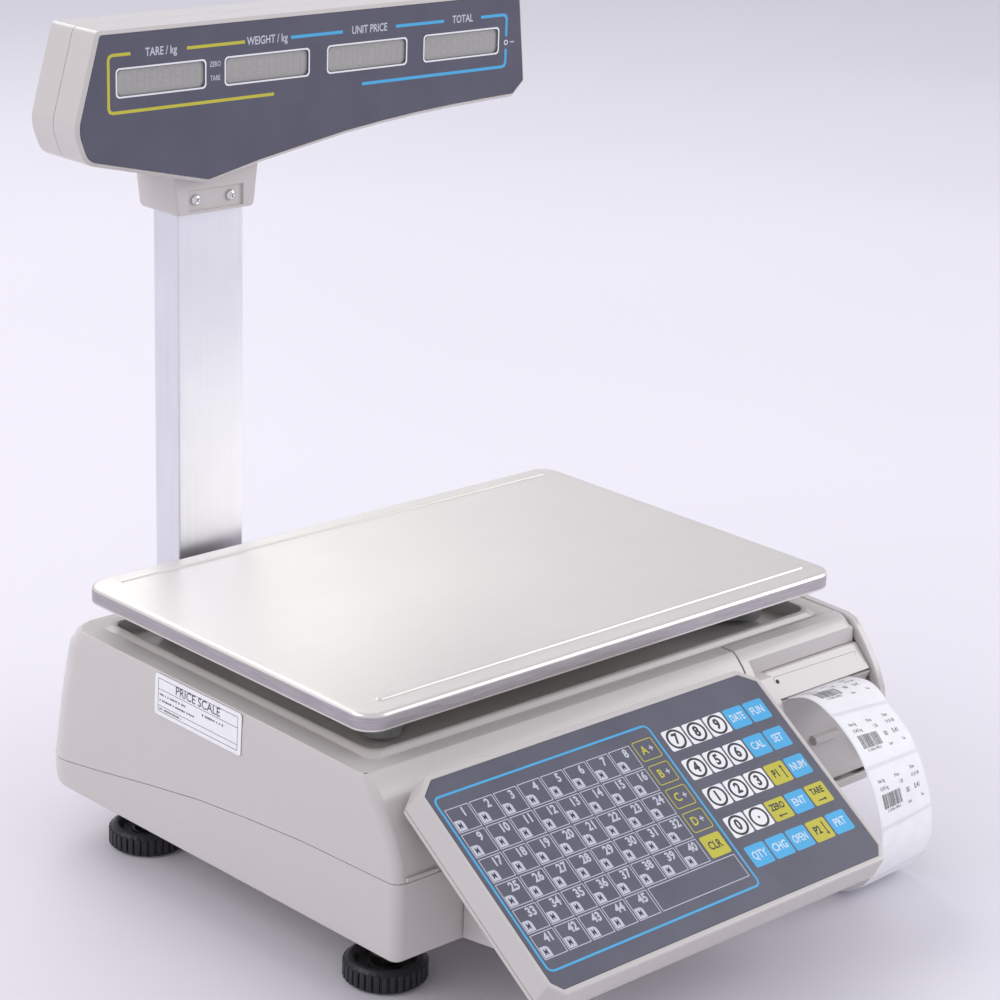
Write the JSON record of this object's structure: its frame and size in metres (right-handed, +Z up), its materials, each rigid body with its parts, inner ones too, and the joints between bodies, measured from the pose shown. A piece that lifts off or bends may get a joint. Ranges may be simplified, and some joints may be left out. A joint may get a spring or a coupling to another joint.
{
  "type": "retail price scale",
  "caption": "Counter-top price-computing scale with steel platter, tilted membrane keyboard, label printer behind a side door, pole with two-sided display and levelling feet.",
  "frame": {"origin": "on the table, in the middle of the scale's footprint box", "axes": "+Z up, -Y towards the operator at the keyboard, +X towards the label printer"},
  "size_m": [0.415, 0.4694, 0.5116],
  "materials": {
    "case_plastic": "fine spark-eroded texture, warm light grey",
    "panel_dark": "satin printed polyester film",
    "stainless_steel": "fine brushed",
    "plated_steel": "zinc plated",
    "brushed_aluminium": "brushed, clear anodised",
    "cast_aluminium": "as cast",
    "black_plastic": "satin moulded",
    "black_rubber": "matt",
    "white_nylon": "satin moulded",
    "brass": "machined",
    "label_paper": "thermal label paper",
    "circuit_board": "solder mask",
    "level_vial": "clear vial with green fluid",
    "rocker_red": "gloss"
  },
  "bodies": {
    "base": {"bubble_level": "level_vial", "chassis_plate": "plated_steel", "data_ports": "plated_steel", "display_board_front": "circuit_board", "display_board_rear": "circuit_board", "feed_motor": "black_plastic", "head_cable": "black_rubber", "head_front_overlay": "panel_dark", "head_front_shell": "case_plastic", "head_rear_overlay": "panel_dark", "head_rear_shell": "case_plastic", "keyboard_board": "circuit_board", "keyboard_bottom_shell": "case_plastic", "keyboard_overlay": "panel_dark", "keyboard_top_shell": "case_plastic", "label_strip": "label_paper", "load_cell": "brushed_aluminium", "load_cell_block": "brushed_aluminium", "lower_case": "case_plastic", "main_board": "circuit_board", "neck_collar": "case_plastic", "neck_screw_left": "plated_steel", "neck_screw_right": "plated_steel", "peel_bar": "plated_steel", "post": "brushed_aluminium", "power_inlet": "black_plastic", "power_supply": "plated_steel", "print_head_shaft": "plated_steel", "printer_bezel": "case_plastic", "printer_frame": "plated_steel", "printer_front_cover": "case_plastic", "printer_front_panel": "case_plastic", "rating_label": "label_paper", "side_cover_hinge": "plated_steel", "switch_housing": "black_plastic", "take_up_belt": "black_rubber", "upper_case": "case_plastic"},
    "platter": {"platter": "stainless_steel"},
    "platter_support": {"platter_support": "cast_aluminium"},
    "side_cover": {"side_cover": "case_plastic"},
    "print_head": {"print_head": "brushed_aluminium"},
    "platen": {"platen_roller": "black_rubber", "platen_gear": "white_nylon", "platen_pulley": "white_nylon"},
    "motor_pinion": {"motor_pinion": "brass"},
    "take_up": {"take_up_spool": "white_nylon", "take_up_pulley": "white_nylon"},
    "label_supply": {"label_roll": "label_paper", "label_spindle": "white_nylon"},
    "power_rocker": {"power_rocker": "rocker_red"},
    "foot_stud_front_left": {"foot_stud_front_left": "plated_steel"},
    "foot_wheel_front_left": {"foot_wheel_front_left": "black_plastic"},
    "foot_stud_front_right": {"foot_stud_front_right": "plated_steel"},
    "foot_wheel_front_right": {"foot_wheel_front_right": "black_plastic"},
    "foot_stud_back_left": {"foot_stud_back_left": "plated_steel"},
    "foot_wheel_back_left": {"foot_wheel_back_left": "black_plastic"},
    "foot_stud_back_right": {"foot_stud_back_right": "plated_steel"},
    "foot_wheel_back_right": {"foot_wheel_back_right": "black_plastic"}
  },
  "joints": [
    {"name": "weigh_deflection", "type": "slide", "parent": "base", "child": "platter_support", "axis": [0, 0, 1], "range_m": [-0.0006, 0]},
    {"name": "platter_lift_off", "type": "slide", "parent": "platter_support", "child": "platter", "axis": [0, 0, 1], "range_m": [0, 0.08]},
    {"name": "side_cover_swing", "type": "hinge", "parent": "base", "child": "side_cover", "pos_m": [0.2041, 0.11425, 0.105], "axis": [0, 0, 1], "range_deg": [0, 100]},
    {"name": "print_head_lift", "type": "hinge", "parent": "base", "child": "print_head", "pos_m": [0.1475, -0.05975, 0.121], "axis": [-1, 0, 0], "range_deg": [0, 10]},
    {"name": "platen_turn", "type": "hinge", "parent": "base", "child": "platen", "pos_m": [0.1475, -0.09075, 0.105], "axis": [1, 0, 0], "continuous": true},
    {"name": "motor_turn", "type": "hinge", "parent": "base", "child": "motor_pinion", "pos_m": [0.1065, -0.07353, 0.08778], "axis": [1, 0, 0], "continuous": true},
    {"name": "take_up_turn", "type": "hinge", "parent": "base", "child": "take_up", "pos_m": [0.1475, -0.05975, 0.068], "axis": [1, 0, 0], "continuous": true},
    {"name": "label_roll_turn", "type": "hinge", "parent": "base", "child": "label_supply", "pos_m": [0.1495, -0.00975, 0.097], "axis": [1, 0, 0], "continuous": true},
    {"name": "power_switch_rock", "type": "hinge", "parent": "base", "child": "power_rocker", "pos_m": [0.1565, 0.22425, 0.083], "axis": [1, 0, 0], "range_deg": [0, 12]},
    {"name": "foot_front_left_extend", "type": "slide", "parent": "base", "child": "foot_stud_front_left", "axis": [0, 0, -1], "range_m": [0, 0.0075]},
    {"name": "foot_front_left_turn", "type": "hinge", "parent": "foot_stud_front_left", "child": "foot_wheel_front_left", "pos_m": [-0.1653, -0.06505, 0.0075], "axis": [0, 0, -1], "range_deg": [0, 1800]},
    {"name": "foot_front_right_extend", "type": "slide", "parent": "base", "child": "foot_stud_front_right", "axis": [0, 0, -1], "range_m": [0, 0.0075]},
    {"name": "foot_front_right_turn", "type": "hinge", "parent": "foot_stud_front_right", "child": "foot_wheel_front_right", "pos_m": [0.1603, -0.06505, 0.0075], "axis": [0, 0, -1], "range_deg": [0, 1800]},
    {"name": "foot_back_left_extend", "type": "slide", "parent": "base", "child": "foot_stud_back_left", "axis": [0, 0, -1], "range_m": [0, 0.0075]},
    {"name": "foot_back_left_turn", "type": "hinge", "parent": "foot_stud_back_left", "child": "foot_wheel_back_left", "pos_m": [-0.1653, 0.16605, 0.0075], "axis": [0, 0, -1], "range_deg": [0, 1800]},
    {"name": "foot_back_right_extend", "type": "slide", "parent": "base", "child": "foot_stud_back_right", "axis": [0, 0, -1], "range_m": [0, 0.0075]},
    {"name": "foot_back_right_turn", "type": "hinge", "parent": "foot_stud_back_right", "child": "foot_wheel_back_right", "pos_m": [0.1603, 0.16605, 0.0075], "axis": [0, 0, -1], "range_deg": [0, 1800]}
  ],
  "couplings": [
    {"joint": "motor_turn", "follows": "platen_turn", "ratio": -3},
    {"joint": "take_up_turn", "follows": "platen_turn", "ratio": 0.55556},
    {"joint": "foot_front_left_extend", "follows": "foot_front_left_turn", "m_per_rad": 0.00023873},
    {"joint": "foot_front_right_extend", "follows": "foot_front_right_turn", "m_per_rad": 0.00023873},
    {"joint": "foot_back_left_extend", "follows": "foot_back_left_turn", "m_per_rad": 0.00023873},
    {"joint": "foot_back_right_extend", "follows": "foot_back_right_turn", "m_per_rad": 0.00023873}
  ]
}
